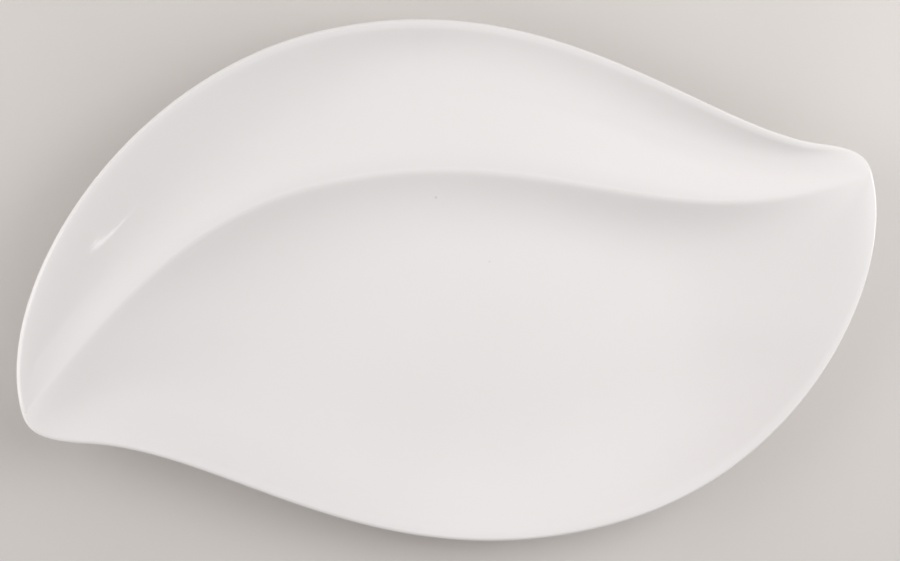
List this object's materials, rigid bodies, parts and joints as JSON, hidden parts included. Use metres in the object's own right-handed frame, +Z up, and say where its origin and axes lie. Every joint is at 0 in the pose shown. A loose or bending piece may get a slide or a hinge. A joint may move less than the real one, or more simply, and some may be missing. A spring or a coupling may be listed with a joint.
{
  "type": "divided serving dish",
  "caption": "Leaf-shaped white porcelain serving dish with a wavy rim, a curved ridge that parts a crescent side trough from the main well, and an oval foot ring.",
  "frame": {"origin": "on the table under the middle of the dish, at the bottom centre of its box", "axes": "+X from the left tip to the right tip, +Y towards the side trough, +Z up from the table"},
  "size_m": [0.5, 0.3056, 0.049],
  "materials": {
    "glazed_porcelain": "clear gloss glaze over white porcelain",
    "bare_porcelain": "fired porcelain, ground flat and left without glaze on the tread"
  },
  "bodies": {
    "root": {"dish_body": "glazed_porcelain", "foot_ring": "bare_porcelain"}
  },
  "joints": []
}
